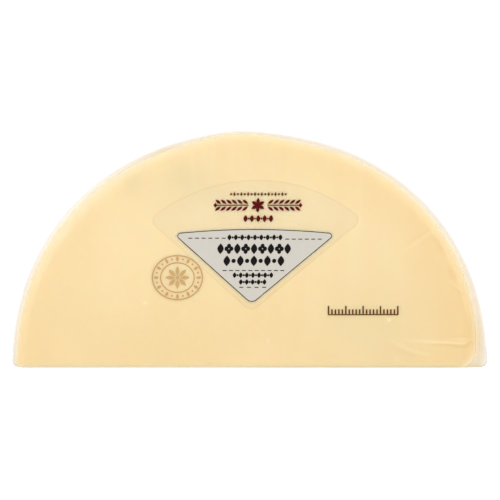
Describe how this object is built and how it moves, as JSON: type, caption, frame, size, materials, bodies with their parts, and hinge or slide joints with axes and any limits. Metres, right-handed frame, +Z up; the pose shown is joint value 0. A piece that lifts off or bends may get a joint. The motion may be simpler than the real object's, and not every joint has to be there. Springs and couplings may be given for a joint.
{
  "type": "half-moon of provolone cheese in a sealed clear bag",
  "caption": "Half-moon slab of pale semi-hard cheese, vacuum-sealed in a tight clear bag with a narrow welded seam round its curve and a fan-shaped sticker on one face.",
  "frame": {"origin": "middle of the foot, on the surface the slab's cut face stands on", "axes": "+X along the straight cut, +Y through the slab's thickness from the stickered face to the back, +Z up to the crown of the curve"},
  "size_m": [0.154, 0.018, 0.0765],
  "materials": {
    "cheese_in_film": "gloss",
    "sticker": "gloss"
  },
  "bodies": {
    "root": {"sealed_cheese": "cheese_in_film", "front_sticker": "sticker"}
  },
  "joints": []
}
